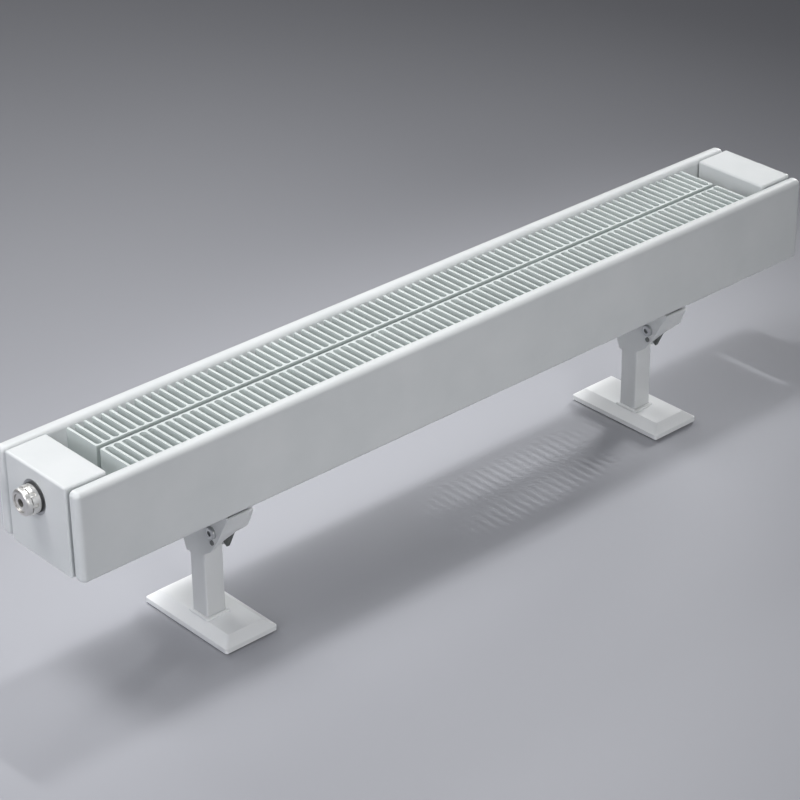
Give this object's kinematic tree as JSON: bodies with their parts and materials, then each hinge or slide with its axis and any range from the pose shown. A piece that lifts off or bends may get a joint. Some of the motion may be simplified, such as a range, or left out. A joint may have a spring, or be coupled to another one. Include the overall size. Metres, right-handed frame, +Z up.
{
  "type": "floor-standing convector heater",
  "caption": "Long low hot-water convector: two flat steel tubes and end headers around fin rows, on two height-adjustable feet with lift-up base covers and an air vent.",
  "frame": {"origin": "on the floor, below the middle of the heater", "axes": "+X along the length to the blanked end, -Y towards the room, +Z up"},
  "size_m": [0.744, 0.094, 0.18],
  "materials": {
    "body_coat": "semi-gloss white powder coat",
    "fin_coat": "satin white powder coat",
    "foot_coat": "satin white powder coat",
    "cover_plastic": "semi-gloss white moulding",
    "zinc_steel": "zinc plated",
    "dark_fixings": "dark phosphate",
    "vent_chrome": "polished",
    "vent_brass": "dull",
    "rubber": "matt"
  },
  "bodies": {
    "heater": {"front_tube": "body_coat", "front_tube_left_cap": "body_coat", "front_tube_right_cap": "body_coat", "back_tube": "body_coat", "back_tube_left_cap": "body_coat", "back_tube_right_cap": "body_coat", "front_fin_row": "fin_coat", "back_fin_row": "fin_coat", "left_header": "body_coat", "left_header_nipples": "zinc_steel", "left_pipe_socket": "zinc_steel", "right_header": "body_coat", "right_header_nipples": "zinc_steel", "right_pipe_socket": "zinc_steel", "vent_bush": "zinc_steel", "vent_seal": "rubber", "vent_body": "vent_chrome", "plug_bush": "zinc_steel", "plug_seal": "rubber", "blank_plug": "vent_chrome", "left_head_bracket": "foot_coat", "left_head_rail": "body_coat", "left_head_screws": "dark_fixings", "left_head_stub": "zinc_steel", "left_head_pads": "cover_plastic", "left_guide_wedge": "dark_fixings", "left_lock_screw": "dark_fixings", "left_side_washer": "zinc_steel", "left_side_bolt": "zinc_steel", "left_clamp_nut": "dark_fixings", "right_head_bracket": "foot_coat", "right_head_rail": "body_coat", "right_head_screws": "dark_fixings", "right_head_stub": "zinc_steel", "right_head_pads": "cover_plastic", "right_guide_wedge": "dark_fixings", "right_lock_screw": "dark_fixings", "right_side_washer": "zinc_steel", "right_side_bolt": "zinc_steel", "right_clamp_nut": "dark_fixings"},
    "vent_ring": {"vent_outlet_ring": "vent_chrome"},
    "vent_spindle": {"vent_spindle": "vent_brass"},
    "left_foot": {"left_post": "foot_coat", "left_base_plate": "zinc_steel", "left_base_pad": "rubber"},
    "left_clamp": {"left_clamp_screw": "zinc_steel"},
    "left_cover": {"left_base_cover": "cover_plastic", "left_post_collar": "cover_plastic"},
    "right_foot": {"right_post": "foot_coat", "right_base_plate": "zinc_steel", "right_base_pad": "rubber"},
    "right_clamp": {"right_clamp_screw": "zinc_steel"},
    "right_cover": {"right_base_cover": "cover_plastic", "right_post_collar": "cover_plastic"}
  },
  "joints": [
    {"name": "vent_ring_turn", "type": "hinge", "parent": "heater", "child": "vent_ring", "pos_m": [-0.37, 0.0025, 0.1575], "axis": [-1, 0, 0], "continuous": true},
    {"name": "vent_spindle_turn", "type": "hinge", "parent": "heater", "child": "vent_spindle", "pos_m": [-0.365, 0.0025, 0.1575], "axis": [-1, 0, 0], "range_deg": [0, 540]},
    {"name": "left_foot_height", "type": "slide", "parent": "heater", "child": "left_foot", "axis": [0, 0, -1], "range_m": [-0.006, 0.02]},
    {"name": "left_clamp_turn", "type": "hinge", "parent": "heater", "child": "left_clamp", "pos_m": [-0.2265, -0.0276, 0.091], "axis": [-1, 0, 0], "range_deg": [0, 360]},
    {"name": "left_cover_lift", "type": "slide", "parent": "left_foot", "child": "left_cover", "axis": [0, 0, 1], "range_m": [0, 0.04]},
    {"name": "right_foot_height", "type": "slide", "parent": "heater", "child": "right_foot", "axis": [0, 0, -1], "range_m": [-0.006, 0.02]},
    {"name": "right_clamp_turn", "type": "hinge", "parent": "heater", "child": "right_clamp", "pos_m": [0.2155, -0.0276, 0.091], "axis": [-1, 0, 0], "range_deg": [0, 360]},
    {"name": "right_cover_lift", "type": "slide", "parent": "right_foot", "child": "right_cover", "axis": [0, 0, 1], "range_m": [0, 0.04]}
  ]
}
